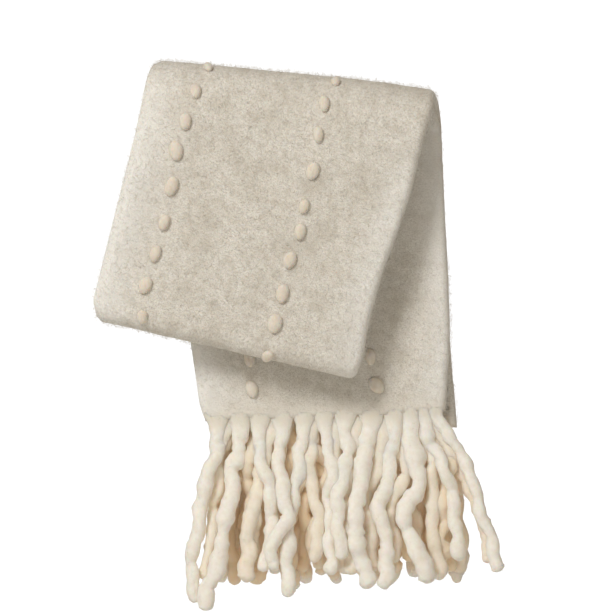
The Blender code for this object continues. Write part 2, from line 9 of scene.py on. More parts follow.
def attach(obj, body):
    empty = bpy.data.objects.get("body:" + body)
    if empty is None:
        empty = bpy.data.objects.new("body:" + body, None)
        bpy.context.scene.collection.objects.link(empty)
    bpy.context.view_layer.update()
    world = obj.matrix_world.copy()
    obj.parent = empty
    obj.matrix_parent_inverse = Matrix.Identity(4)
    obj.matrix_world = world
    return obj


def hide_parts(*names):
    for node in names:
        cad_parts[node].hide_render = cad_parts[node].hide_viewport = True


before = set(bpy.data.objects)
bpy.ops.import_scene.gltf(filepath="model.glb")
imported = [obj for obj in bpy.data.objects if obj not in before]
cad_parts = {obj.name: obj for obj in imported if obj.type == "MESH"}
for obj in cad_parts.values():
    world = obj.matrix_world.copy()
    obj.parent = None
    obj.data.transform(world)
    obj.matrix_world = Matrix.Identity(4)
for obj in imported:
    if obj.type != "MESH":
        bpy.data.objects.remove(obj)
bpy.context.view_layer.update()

# A brushed mohair throw, folded in four across, doubled end to end and hung askew over a bar.
# Metres, +Z up, the camera looks along +Y. The origin is where the top fold rests on the bar.


# Small helpers

def report(stage):
    print("throw:", stage)


def smooth(share):
    share = min(max(share, 0.0), 1.0)
    return share * share * (3 - 2 * share)


def bell(value, middle, reach):
    return math.exp(-(((value - middle) / reach) ** 2))


def addNode(tree, kind, inputs=None, **settings):
    node = tree.nodes.new(kind)
    for name, value in settings.items():
        setattr(node, name, value)
    for name, value in (inputs or {}).items():
        if isinstance(value, bpy.types.NodeSocket):
            tree.links.new(value, node.inputs[name])
        else:
            node.inputs[name].default_value = value
    return node


def makePiece(name, points, faces, material):
    mesh = bpy.data.meshes.new(name)
    mesh.from_pydata([tuple(p) for p in points], [], faces)
    mesh.validate()
    mesh.materials.append(material)
    mesh.shade_smooth()
    piece = bpy.data.objects.new(name, mesh)
    bpy.context.scene.collection.objects.link(piece)
    return piece


def paintPoints(piece, name, values):
    layer = piece.data.attributes.new(name, "FLOAT", "POINT")
    layer.data.foreach_set("value", np.asarray(values, np.float32))


# Camera, lights, floor

viewSettings = {
    "middleX": 0.0110,  # what the middle of the picture looks at
    "middleZ": -0.2273,
    "pictureHeight": 0.6985,  # at the throw
    "throwPlane": -0.010,
    "distance": 5.0,
}
lightSettings = {
    "keyPower": 95.0, "keySize": 1.3, "keyPlace": (-1.5, -3.0, 2.0),
    "fillPower": 11.0, "fillSize": 2.6, "fillPlace": (0.9, -3.4, -0.6),
    "backPower": 70.0, "backSize": 3.0, "backPlace": (0.3, 3.4, -0.7),
    "worldLight": 0.28,
    "worldTint": (1.0, 0.90, 0.76, 1),  # the light that fills the shadows is warm
    "worldSeen": 1.15,  # white enough for the picture's background
    "floorHeight": -0.90, "floorRadius": 2.5, "floorSides": 96,
    "floorColour": (0.86, 0.86, 0.85, 1), "floorRoughness": 0.85,
}


def makeCamera():
    lens = bpy.data.cameras.new("viewCamera")
    lens.sensor_width = 36
    lens.lens = lens.sensor_width * viewSettings["distance"] / viewSettings["pictureHeight"]
    camera = bpy.data.objects.new("viewCamera", lens)
    camera.location = (
        viewSettings["middleX"],
        viewSettings["throwPlane"] - viewSettings["distance"],
        viewSettings["middleZ"],
    )
    camera.rotation_euler = (math.pi / 2, 0, 0)
    bpy.context.scene.collection.objects.link(camera)
    bpy.context.scene.camera = camera


def makeAreaLight(name):
    light = bpy.data.lights.new(name + "Light", "AREA")
    light.energy = lightSettings[name + "Power"]
    light.shape = "DISK"
    light.size = lightSettings[name + "Size"]
    lamp = bpy.data.objects.new(name + "Light", light)
    lamp.location = lightSettings[name + "Place"]
    aim = Vector((viewSettings["middleX"], 0, viewSettings["middleZ"])) - lamp.location
    lamp.rotation_euler = aim.to_track_quat("-Z", "Y").to_euler()
    bpy.context.scene.collection.objects.link(lamp)


def makeWorld():
    # white behind the throw, softer where it lights the throw
    bpy.context.scene.view_settings.view_transform = "Standard"
    world = bpy.data.worlds.new("studio")
    bpy.context.scene.world = world
    world.use_nodes = True
    tree = world.node_tree
    tree.nodes.clear()
    path = addNode(tree, "ShaderNodeLightPath")
    lighting = addNode(tree, "ShaderNodeBackground", {
        "Color": lightSettings["worldTint"], "Strength": lightSettings["worldLight"]})
    seen = addNode(tree, "ShaderNodeBackground", {
        "Color": (1, 1, 1, 1), "Strength": lightSettings["worldSeen"]})
    mixed = addNode(tree, "ShaderNodeMixShader", {
        0: path.outputs["Is Camera Ray"], 1: lighting.outputs[0], 2: seen.outputs[0]})
    addNode(tree, "ShaderNodeOutputWorld", {"Surface": mixed.outputs[0]})


def makeFloor():
    sides = lightSettings["floorSides"]
    radius = lightSettings["floorRadius"]
    turns = [2 * math.pi * i / sides for i in range(sides)]
    points = [(radius * math.cos(t), radius * math.sin(t), lightSettings["floorHeight"]) for t in turns]
    paint, _, _ = startMaterial(
        "paleFloor", Base_Color=lightSettings["floorColour"], Roughness=lightSettings["floorRoughness"])
    makePiece("studioFloor", points, [list(range(sides))], paint)


# Materials

softLook = {
    "roughness": 0.95,
    "shine": 0.12,
    "scatterRadius": (1.0, 0.62, 0.36),
    "sheenRoughness": 0.5,
    "sheenTint": (1.0, 0.97, 0.92, 1),
}
mohairLook = {
    "scatter": 0.12,
    "scatterDepth": 0.006,
    "sheen": 0.25,
    "cream": (0.880, 0.842, 0.765, 1),
    "oat": (0.560, 0.505, 0.415, 1),
    "speck": (0.360, 0.315, 0.255, 1),
    "pale": (0.820, 0.765, 0.670, 1),  # near the hems, where the roving begins
    "bright": (0.950, 0.930, 0.885, 1),  # painted highlight along the flap's left edge and its right turn
    "streaksAcross": 300.0,  # per metre; the brushed streaks run across the throw
    "streaksAlong": 480.0,
    "clouds": 24.0,
    "mottles": 78.0,
    "specks": 640.0,
    "streakRange": (0.36, 0.92),  # the noise value where a tone starts, and where it is whole
    "cloudRange": (0.46, 0.96),
    "mottleRange": (0.46, 1.02),
    "speckRange": (0.50, 1.02),
    "bumpHeight": 0.0008,
    "bumpStrength": 0.38,
}
rovingLook = {
    "scatter": 0.45,
    "scatterDepth": 0.012,
    "sheen": 0.25,
    "cream": (0.950, 0.915, 0.845, 1),
    "shade": (0.870, 0.815, 0.720, 1),
    "root": (0.800, 0.745, 0.650, 1),  # where a root comes out of the hem
    "warm": (0.860, 0.680, 0.460, 1),  # painted warm shade deep inside the fringe, where light has come through wool
    "glow": (1.0, 0.72, 0.45, 1),
    "glowStrength": 0.050,
    "lumps": 160.0,
    "felt": 900.0,
    "lumpRange": (0.35, 0.75),
    "feltRange": (0.60, 0.85),
    "bumpHeight": 0.0012,
    "bumpStrength": 0.6,
    "bobbleTint": (0.88, 0.82, 0.77, 1),
}
hairLook = {
    "scatter": 0.0,
    "scatterDepth": 0.001,
    "sheen": 0.2,
    "toneRange": (0.55, 1.0),
    "mohair": ((0.93, 0.895, 0.82, 1), (0.62, 0.57, 0.48, 1)),  # pale, dark
    "roving": ((0.90, 0.86, 0.78, 1), (0.74, 0.68, 0.58, 1)),
}


def startMaterial(name, **sockets):
    made = bpy.data.materials.new(name)
    made.use_nodes = True
    tree = made.node_tree
    shader = tree.nodes["Principled BSDF"]
    for socket, value in sockets.items():
        shader.inputs[socket.replace("_", " ")].default_value = value
    return made, tree, shader


def softShader(name, look):
    return startMaterial(
        name, Roughness=softLook["roughness"], Specular_IOR_Level=softLook["shine"],
        Subsurface_Weight=look["scatter"], Subsurface_Radius=softLook["scatterRadius"],
        Subsurface_Scale=look["scatterDepth"], Sheen_Weight=look["sheen"],
        Sheen_Roughness=softLook["sheenRoughness"], Sheen_Tint=softLook["sheenTint"])


def noiseAt(tree, vector, scale, detail=3.0, roughness=0.55):
    return addNode(tree, "ShaderNodeTexNoise", {
        "Vector": vector, "Scale": scale, "Detail": detail, "Roughness": roughness}).outputs["Fac"]


def between(tree, value, limits):
    return addNode(tree, "ShaderNodeMapRange", {
        "Value": value, "From Min": limits[0], "From Max": limits[1]}, clamp=True).outputs["Result"]


def attribute(tree, name):
    return addNode(tree, "ShaderNodeAttribute", attribute_name=name).outputs["Fac"]


def mixColour(tree, share, first, second):
    mix = tree.nodes.new("ShaderNodeMix")
    mix.data_type = "RGBA"
    for socket, value in ((mix.inputs[0], share), (mix.inputs[6], first), (mix.inputs[7], second)):
        if isinstance(value, bpy.types.NodeSocket):
            tree.links.new(value, socket)
        else:
            socket.default_value = value
    return mix.outputs[2]


def addBump(tree, shader, height, look):
    bump = addNode(tree, "ShaderNodeBump", {
        "Height": height, "Distance": look["bumpHeight"], "Strength": look["bumpStrength"]})
    tree.links.new(bump.outputs["Normal"], shader.inputs["Normal"])


def makeMohair():
    look = mohairLook
    made, tree, shader = softShader("brushedMohair", look)
    uv = addNode(tree, "ShaderNodeTexCoord").outputs["UV"]
    stretched = addNode(tree, "ShaderNodeMapping", {
        "Vector": uv, "Scale": (look["streaksAcross"], look["streaksAlong"], 1)}).outputs[0]
    streaks = noiseAt(tree, stretched, 1.0, 4.0, 0.65)
    clouds = noiseAt(tree, uv, look["clouds"])
    mottles = noiseAt(tree, uv, look["mottles"], 2.0)
    specks = noiseAt(tree, uv, look["specks"], 1.0)
    colour = look["cream"]
    for share, other in (
            (between(tree, streaks, look["streakRange"]), look["oat"]),
            (between(tree, clouds, look["cloudRange"]), look["oat"]),
            (between(tree, mottles, look["mottleRange"]), look["oat"]),
            (between(tree, specks, look["speckRange"]), look["speck"]),
            # painted highlight: lighter along the flap's left edge and right turn
            (attribute(tree, "nearEdge"), look["bright"]),
            (attribute(tree, "nearHem"), look["pale"])):
        colour = mixColour(tree, share, colour, other)
    tree.links.new(colour, shader.inputs["Base Color"])
    felt = addNode(tree, "ShaderNodeMath", {0: streaks, 1: specks}, operation="ADD")
    addBump(tree, shader, felt.outputs[0], look)
    return made


def makeRoving(name, tint, glow):
    look = rovingLook
    made, tree, shader = softShader(name, look)
    # light that comes through the wool from behind
    shader.inputs["Emission Color"].default_value = look["glow"]
    shader.inputs["Emission Strength"].default_value = glow
    place = addNode(tree, "ShaderNodeTexCoord").outputs["Object"]
    lumps = noiseAt(tree, place, look["lumps"])
    felt = noiseAt(tree, place, look["felt"], 3.0, 0.7)
    cream = tuple(a * b for a, b in zip(look["cream"], tint))
    shade = tuple(a * b for a, b in zip(look["shade"], tint))
    colour = mixColour(tree, between(tree, lumps, look["lumpRange"]), cream, shade)
    colour = mixColour(tree, between(tree, felt, look["feltRange"]), colour, shade)
    # painted warm shade on the rows behind and on the backs of the strands
    colour = mixColour(tree, attribute(tree, "inside"), colour, look["warm"])
    colour = mixColour(tree, attribute(tree, "nearHem"), colour, look["root"])
    tree.links.new(colour, shader.inputs["Base Color"])
    addBump(tree, shader, felt, look)
    return made


def makeFibre(name, tones):
    # each hair has its own tone, from an attribute that the scatter gives it
    made, tree, shader = softShader(name, hairLook)
    share = between(tree, attribute(tree, "tone"), hairLook["toneRange"])
    tree.links.new(mixColour(tree, share, *tones), shader.inputs["Base Color"])
    return made


# How the sheet is folded and hung: the same folds as the frame's solids

clothSizes = {
    "thickness": 0.0040,
    "layerGap": 0.0008,
    "foldedWidth": 0.325,
    "leftEdgeStep": 0.011,
    "edgeCurl": 0.0045,
    "flapLength": 0.250,
    "backLength": 0.356,
    "hemStep": 0.020,
    "barRadius": 0.0145,
    "barClearance": 0.0002,
    "flapSkew": math.radians(8.5),
    "barTilt": math.radians(6.3),
    "flapClosing": 0.0015,
    "backClosing": 0.0040,
    "closingDepth": 0.20,
    "slopeStep": 0.004,  # the slope of a hanging run is measured over this length
    "quickStart": 8,  # how fast a change sets in below the bar
    "slowStart": 2.5,
    "flapNarrowing": 0.020,
    "flapShear": 0.032,
    "flapShift": 0.0045,
    "rimDraw": 0.0045,
    "rimWaist": 0.0085,
    "rimWaistAt": 0.74,
    "rimWaistReach": 0.30,
    "backNarrowing": 0.145,
    "hemNarrowing": 0.22,
    "nearHemsFrom": 0.7,  # share of the way down where the hems' own drift starts
    "nearHemsOver": 0.3,
    "backDrift": 0.015,
    "backBulge": 0.0060,
    "backBulgeAt": 0.70,
    "backBulgeReach": 0.28,
    "rearDrift": 0.013,
    "waveHeight": 0.0013,
    "waveLengths": (0.041, 0.052),  # across, along
    "wavePhases": (0.6, 1.1),
    "slantWave": 0.029,
    "slantShare": 0.7,
    "hemCalm": 0.10,
    "hemWave": 0.0016,
    "hemWaveLength": 0.019,
    "hemWavePhase": 0.8,
    "crestLift": 0.0026,
    "crestLiftAt": 0.045,
    "crestLiftReach": 0.075,
    "cornerReach": 0.050,
    "topCornerDraw": 0.0035,
    "foldCornerDraws": (0.008, 0.0025),
    "cornerFall": 0.024,
    "cornerLead": 0.25,
    "hemCornerDraw": 0.009,
    "hemCornerFall": 0.045,
    "lumpHeight": 0.0006,
    "lumps": ((1.0, 0.035, 0.028, 3.1), (0.6, 0.008, 0.006, 7.7)),  # share, across, along, place in the noise
    "hemPaleReach": 0.026,
    "hemPaleFall": 1.5,
    "edgePale": ((0.70, 0.040), (0.50, 0.026)),  # share and reach of the painted highlight, at the left edge and the right turn
    "edgePaleBelow": 0.12,
}
halfCloth = clothSizes["thickness"] / 2
layerPitch = clothSizes["thickness"] + clothSizes["layerGap"]
runRadius = 2 * layerPitch
stackHalf = 3.5 * layerPitch + halfCloth
stackRadius = clothSizes["barRadius"] + clothSizes["barClearance"] + stackHalf
outerRadius = stackRadius + stackHalf
halfWidth = clothSizes["foldedWidth"] / 2
leftX = -halfWidth
innerLeft = leftX + clothSizes["leftEdgeStep"]
rightX = halfWidth - 1.5 * layerPitch - halfCloth
quarterTurn = math.pi / 2 * stackRadius
crestAt = clothSizes["backLength"] + quarterTurn
foldAt = crestAt + quarterTurn + clothSizes["flapLength"]
overReach = quarterTurn + halfWidth * math.tan(clothSizes["flapSkew"])
overStart = crestAt - overReach
overEnd = crestAt + overReach

# cells across each part of the folded width, and along each part of the doubled length
acrossCells = (
    ("edge", 4), ("outer", 64), ("outerTurn", 14), ("inner", 12), ("leftTurn", 8),
    ("middle", 8), ("innerTurn", 6), ("tucked", 8),
)
alongCells = (
    ("rear", 48), ("rearOver", 46), ("flapFront", 66), ("lowerFold", 18),
    ("flapRear", 16), ("frontOver", 22), ("front", 56),
)
outsideParts = ("edge", "outer", "outerTurn")


def foldWidth(part, share, offset):
    # the width folded in four: x, and height in the stack
    turn = math.pi * share
    if part == "edge":
        dip = clothSizes["edgeCurl"] * (1 - smooth(share))
        return leftX + share * clothSizes["leftEdgeStep"], 1.5 * layerPitch + offset - dip
    if part == "outer":
        return innerLeft + share * (rightX - innerLeft), 1.5 * layerPitch + offset
    if part == "outerTurn":
        radius = 1.5 * layerPitch + offset
        return rightX + radius * math.sin(turn), radius * math.cos(turn)
    if part == "inner":
        return rightX + share * (innerLeft - rightX), -1.5 * layerPitch - offset
    if part == "leftTurn":
        radius = 0.5 * layerPitch + offset
        return innerLeft - radius * math.sin(turn), -layerPitch - radius * math.cos(turn)
    if part == "middle":
        return innerLeft + share * (rightX - innerLeft), -0.5 * layerPitch + offset
    if part == "innerTurn":
        radius = 0.5 * layerPitch - offset
        return rightX + radius * math.sin(turn), -radius * math.cos(turn)
    return rightX + share * (innerLeft - rightX), 0.5 * layerPitch - offset


def doubleLength(part, share, height):
    if part == "rear":
        return share * overStart, runRadius + height
    if part == "rearOver":
        return overStart + share * (overEnd - overStart), runRadius + height
    if part == "flapFront":
        return overEnd + share * (foldAt - overEnd), runRadius + height
    if part == "lowerFold":
        radius = runRadius + height
        return foldAt + radius * math.sin(math.pi * share), radius * math.cos(math.pi * share)
    if part == "flapRear":
        return foldAt - share * (foldAt - overEnd), -runRadius - height
    if part == "frontOver":
        return overEnd - share * (overEnd - overStart), -runRadius - height
    return overStart - share * (overStart - clothSizes["hemStep"]), -runRadius - height


def unevenness(x, distance):
    size = clothSizes
    (wide, long), (first, second) = size["waveLengths"], size["wavePhases"]
    slow = math.sin(x / wide + first) * math.sin(distance / long + second)
    slant = size["slantShare"] * math.sin((x + size["slantShare"] * distance) / size["slantWave"])
    return size["waveHeight"] * (slow + slant) * smooth(distance / size["hemCalm"])


def drape(x, distance, height):
    # how each run narrows, drifts and rounds its corners as it hangs
    size = clothSizes
    backSpan = size["backLength"] + quarterTurn / 2
    below = max(backSpan - distance, 0.0) / backSpan
    ahead = max(distance - crestAt, 0.0) / (foldAt - crestAt)
    nearSide = max(1 - (halfWidth - abs(x)) / size["cornerReach"], 0.0) ** 2
    inward = -nearSide if x > 0 else nearSide
    fromCrest = distance - crestAt + x * math.tan(size["flapSkew"])
    nearHem = smooth(1 - distance / size["hemCornerFall"])
    nearFold = smooth((distance - foldAt) / size["cornerFall"] + size["cornerLead"])
    lowest = smooth((below - size["nearHemsFrom"]) / size["nearHemsOver"])
    narrowing = (1 - size["hemNarrowing"]) * smooth(below) + size["hemNarrowing"] * lowest
    moved = x * (1 - size["backNarrowing"] * narrowing - size["flapNarrowing"] * ahead)
    moved += size["backDrift"] * below + size["flapShift"] * smooth(size["slowStart"] * ahead)
    bulge = size["backBulge"] * bell(below, size["backBulgeAt"], size["backBulgeReach"])
    moved += bulge * smooth(size["quickStart"] * below)
    moved += size["rearDrift"] * lowest if height > 0 else 0.0
    moved += inward * size["topCornerDraw"] * bell(fromCrest, 0.0, size["cornerFall"])
    moved += inward * size["foldCornerDraws"][x > 0] * nearFold
    waist = size["rimWaist"] * bell(ahead, size["rimWaistAt"], size["rimWaistReach"])
    moved -= smooth(x / halfWidth) * (size["rimDraw"] + waist) * smooth(size["quickStart"] * ahead)
    moved += max(inward, 0.0) * size["hemCornerDraw"] * nearHem
    distance = distance - size["flapShear"] * x * smooth(ahead)
    hemWave = math.sin(x / size["hemWaveLength"] + size["hemWavePhase"])
    distance += size["hemWave"] * smooth(1 - distance / size["hemCalm"]) * hemWave
    return moved, distance, height + unevenness(x, distance)


def hangOverBar(x, distance, height):
    x, distance, height = drape(x, distance, height)
    size = clothSizes
    skew, tilt = size["flapSkew"], size["barTilt"]
    alongBar = x * math.cos(skew) - (distance - crestAt) * math.sin(skew)
    roundBar = x * math.sin(skew) + (distance - crestAt) * math.cos(skew)
    if abs(roundBar) <= quarterTurn:
        angle = roundBar / stackRadius
        middle = (-stackRadius * math.sin(angle), stackRadius * math.cos(angle))
        normal = (-math.sin(angle), math.cos(angle))
    else:
        side = -1 if roundBar > 0 else 1
        closing = size["flapClosing"] if roundBar > 0 else size["backClosing"]
        drop, depth = abs(roundBar) - quarterTurn, size["closingDepth"]
        y, yLower = (
            stackRadius - closing * smooth(d / depth) for d in (drop, drop + size["slopeStep"]))
        slope = math.atan2(y - yLower, size["slopeStep"])
        middle = (side * y, -drop)
        normal = (side * math.cos(slope), -math.sin(slope))
    y = middle[0] + height * normal[0]
    z = middle[1] + height * normal[1]
    lift = size["crestLift"] * bell(alongBar, size["crestLiftAt"], size["crestLiftReach"])
    z = z + lift * smooth(0.5 + z / (2 * stackRadius))
    return Vector((
        alongBar * math.cos(tilt) + z * math.sin(tilt),
        y,
        -alongBar * math.sin(tilt) + z * math.cos(tilt) - size["barRadius"] - size["barClearance"],
    ))


def sheetPoint(across, along, offset):
    x, height = foldWidth(*across, offset)
    distance, height = doubleLength(*along, height)
    return hangOverBar(x, distance, height)


def stations(parts):
    found = [(parts[0][0], 0.0)]
    for name, cells in parts:
        found += [(name, (i + 1) / cells) for i in range(cells)]
    return found


def flatLengths(places):
    # the flat distance of each station from the sheet's first edge
    layer = rightX - innerLeft
    spans = {
        "edge": clothSizes["leftEdgeStep"], "outer": layer, "outerTurn": math.pi * 1.5 * layerPitch,
        "inner": layer, "leftTurn": math.pi * 0.5 * layerPitch, "middle": layer,
        "innerTurn": math.pi * 0.5 * layerPitch, "tucked": layer,
        "rear": overStart, "rearOver": overEnd - overStart, "flapFront": foldAt - overEnd,
        "lowerFold": math.pi * runRadius, "flapRear": foldAt - overEnd, "frontOver": overEnd - overStart,
        "front": overStart - clothSizes["hemStep"],
    }
    found, done, before = [], 0.0, places[0][0]
    for part, share in places:
        if part != before:
            done += spans[before]
            before = part
        found.append(done + share * spans[part])
    return found


def clothPoint(across, along, offset, flatX, flatY):
    # what shows stands a little proud, in lumps
    if offset > 0 and across[0] in outsideParts:
        lumps = 1.0
        for share, wide, long, place in clothSizes["lumps"]:
            lumps += share * noise.noise(Vector((flatX / wide, flatY / long, place)))
        offset += clothSizes["lumpHeight"] * lumps
    return sheetPoint(across, along, offset)


def sheetFaces(columns, rows):
    # two sides and a rim, from points numbered by side, row and column

    def index(side, row, column):
        return (side * rows + row) * columns + column

    faces = []
    for row in range(rows - 1):
        for column in range(columns - 1):
            ring = [(row, column), (row, column + 1), (row + 1, column + 1), (row + 1, column)]
            faces.append([index(0, *corner) for corner in ring])
            faces.append([index(1, *corner) for corner in reversed(ring)])
    border = [(0, c) for c in range(columns)] + [(r, columns - 1) for r in range(1, rows)]
    border += [(rows - 1, c) for c in range(columns - 2, -1, -1)]
    border += [(r, 0) for r in range(rows - 2, 0, -1)]
    for here, after in zip(border, border[1:] + border[:1]):
        faces.append([index(0, *after), index(0, *here), index(1, *here), index(1, *after)])
    return faces


def makeCloth(material):
    size = clothSizes
    across, along = stations(acrossCells), stations(alongCells)
    flatAcross, flatAlong = flatLengths(across), flatLengths(along)
    grid = [
        (offset, a, b, x, y)
        for offset in (halfCloth, -halfCloth)
        for b, y in zip(along, flatAlong)
        for a, x in zip(across, flatAcross)
    ]
    points = [clothPoint(a, b, offset, x, y) for offset, a, b, x, y in grid]
    cloth = makePiece("throwCloth", points, sheetFaces(len(across), len(along)), material)
    faceOutwards(cloth)
    places = np.array([(x, y) for _, _, _, x, y in grid])
    corners = np.zeros(len(cloth.data.loops), np.int32)
    cloth.data.loops.foreach_get("vertex_index", corners)
    uv = cloth.data.uv_layers.new(name="UVMap")
    uv.data.foreach_set("uv", places[corners].astype(np.float32).ravel())
    fromHem = np.minimum(places[:, 1], flatAlong[-1] - places[:, 1])
    paintPoints(cloth, "nearHem", np.clip(1 - fromHem / size["hemPaleReach"], 0, 1) ** size["hemPaleFall"])
    # painted highlight near the flap's left edge and right turn, fading in below the crest
    edges = (0.0, size["leftEdgeStep"] + rightX - innerLeft)
    paintPoints(cloth, "nearEdge", [
        smooth((y - crestAt) / size["edgePaleBelow"])
        * sum(share * bell(x, edge, reach) for edge, (share, reach) in zip(edges, size["edgePale"]))
        for x, y in places])
    paintPoints(cloth, "outside", [
        float((offset > 0 and a[0] in outsideParts + ("leftTurn",)) or a == ("edge", 0.0))
        for offset, a, _, _, _ in grid])
    report("flat sheet {:.3f} by {:.3f}".format(flatAcross[-1], flatAlong[-1]))
    return cloth, (flatAcross[-1], flatAlong[-1])


# Bobbles: thick slubs of yarn, in lines along the length

bobbleSizes = {
    "width": 0.0142,
    "length": 0.0212,
    "height": 0.0062,
    "root": 0.0018,
    "sunkShare": 0.4,  # of the root
    "pitch": 0.0371,
    "lines": (0.056, 0.208),
    "hemLines": (0.0705, 0.2330),
    "rearCount": 9,
    "rearStarts": (1.0, 0.4),
    "rearStray": 0.003,
    "rearScales": (0.86, 1.08),
    "plump": (0.94, 1.10),
    "pinch": (0.02, 0.20),
    "pinchReach": 0.22,
    "pinchSlant": 0.6,
    "taper": 0.08,
    "rings": 9,
    "sides": 18,
    "seed": 7,
    "shapeSeed": 23,
}
# down the flap, the left line and the right line: drop from the top edge, stray to the side, size, lean
flapBobbles = (
    (
        (0.005, 0.010, 0.75, 0.2), (0.033, 0.002, 0.86, 0.0), (0.068, -0.003, 0.96, 0.1),
        (0.102, -0.006, 1.10, 0.3), (0.141, -0.001, 1.10, -0.1), (0.182, 0.001, 0.92, -0.1),
        (0.218, 0.000, 0.98, -0.1), (0.255, -0.002, 0.98, -0.2), (0.290, 0.004, 0.82, 0.2),
    ),
    (
        (0.008, 0.003, 0.72, 0.0), (0.035, -0.004, 0.92, 0.1), (0.068, -0.004, 0.90, 0.2),
        (0.109, -0.001, 1.02, -0.1), (0.150, 0.000, 0.84, 0.0), (0.179, 0.004, 0.96, 0.1),
        (0.213, 0.001, 0.98, 0.0), (0.252, 0.003, 1.06, 0.1), (0.287, 0.003, 1.10, 0.0),
        (0.323, 0.004, 0.86, -0.2),
    ),
)
# the same above the front hem, by distance from it
hemBobbles = (
    ((0.033, 0.000, 0.98, 0.1), (0.068, 0.001, 0.95, 0.0)),
    ((0.033, 0.000, 1.02, 0.7), (0.065, -0.008, 0.92, 0.1)),
)


def stationAt(distance):
    if distance < overStart:
        return "rear", distance / overStart
    if distance < overEnd:
        return "rearOver", (distance - overStart) / (overEnd - overStart)
    if distance < foldAt:
        return "flapFront", (distance - overEnd) / (foldAt - overEnd)
    rise = (distance - foldAt) / (runRadius + 1.5 * layerPitch + halfCloth)
    return "lowerFold", math.asin(min(rise, 1.0)) / math.pi


def flapDistance(x, drop):
    skew = clothSizes["flapSkew"]
    squareDrop = drop * math.cos(skew)
    if squareDrop < outerRadius:
        bend = stackRadius * math.acos(1 - squareDrop / outerRadius)
    else:
        bend = quarterTurn + squareDrop - outerRadius
    return crestAt - x * math.tan(skew) + bend / math.cos(skew)


def faceFrame(x, along):
    # a place on the outer face: its point, its normal, and its directions across and along
    part, share = along
    across = (x - innerLeft) / (rightX - innerLeft)
    step = 0.01
    here = sheetPoint(("outer", across), along, halfCloth)
    sideways = (sheetPoint(("outer", across + step), along, halfCloth) - here).normalized()
    lengthways = (sheetPoint(("outer", across), (part, share + step), halfCloth) - here).normalized()
    normal = (here - sheetPoint(("outer", across), along, -halfCloth)).normalized()
    return here, normal, sideways, lengthways


def bobblePlaces(chooser):
    # x, place along, size and lean of each
    size = bobbleSizes
    found = []
    for line, left in enumerate(size["lines"]):
        x = leftX + left
        for drop, stray, scale, lean in flapBobbles[line]:
            found.append((x + stray, stationAt(flapDistance(x, drop)), scale, lean))
        for i in range(size["rearCount"]):
            stray = chooser.uniform(-size["rearStray"], size["rearStray"])
            behind = size["pitch"] * (i + size["rearStarts"][line]) + stray
            scale = chooser.uniform(*size["rearScales"])
            found.append((x, stationAt(flapDistance(x, 0.0) - behind), scale, 0.0))
        for distance, stray, scale, lean in hemBobbles[line]:
            share = 1 - distance / (overStart - clothSizes["hemStep"])
            found.append((leftX + size["hemLines"][line] + stray, ("front", share), scale, lean))
    return found


def ringFaces(start, rings, sides):
    # the quads between rings of points that follow one another
    faces = []
    for low in range(start, start + (rings - 1) * sides, sides):
        for side in range(sides):
            after = (side + 1) % sides
            faces.append([low + side, low + after, low + sides + after, low + sides + side])
    return faces


def makeBobbles(material):
    size = bobbleSizes
    points, faces = [], []
    shapes = random.Random(size["shapeSeed"])
    sides, halfHeight = size["sides"], 0.5 * size["height"] + size["root"]
    for x, place, scale, lean in bobblePlaces(random.Random(size["seed"])):
        here, normal, straight, down = faceFrame(x, place)
        across = straight * math.cos(lean) - down * math.sin(lean)
        along = straight * math.sin(lean) + down * math.cos(lean)
        plump = shapes.uniform(*size["plump"])
        pinch = shapes.uniform(*size["pinch"])
        start = len(points)
        middle = here + normal * (0.5 * size["height"] - size["root"] * size["sunkShare"])
        for ring in range(1, size["rings"]):
            polar = math.pi * ring / size["rings"]
            for side in range(sides):
                turn = 2 * math.pi * side / sides
                a = math.sin(polar) * math.cos(turn)
                b = math.sin(polar) * math.sin(turn)
                c = math.cos(polar)
                crease = pinch * bell(b - size["pinchSlant"] * a, 0.0, size["pinchReach"]) * max(c, 0.0)
                wide = a * size["width"] / 2 * scale * plump * (1 - size["taper"] * b)
                long = b * size["length"] / 2 * scale
                lift = c * halfHeight * (1 - crease)
                points.append(middle + across * wide + along * long + normal * lift)
        top = len(points)
        points.append(middle + normal * halfHeight * (1 - pinch))
        points.append(middle - normal * halfHeight)
        faces += ringFaces(start, size["rings"] - 1, sides)
        last = top - sides
        for side in range(sides):
            after = (side + 1) % sides
            faces.append([top, start + after, start + side])
            faces.append([top + 1, last + side, last + after])
    bobbles = makePiece("yarnBobbles", points, faces, material)
    faceOutwards(bobbles)
    return bobbles


def faceOutwards(piece):
    # a closed mesh whose volume comes out negative is inside out
    mesh = piece.data
    mesh.calc_loop_triangles()
    corners = np.array([v.co for v in mesh.vertices])
    triangles = np.array([t.vertices for t in mesh.loop_triangles])
    a, b, c = corners[triangles[:, 0]], corners[triangles[:, 1]], corners[triangles[:, 2]]
    if np.einsum("ij,ij->", a, np.cross(b, c)) < 0:
        mesh.flip_normals()


# Fringe: felted roving, knotted into the hem

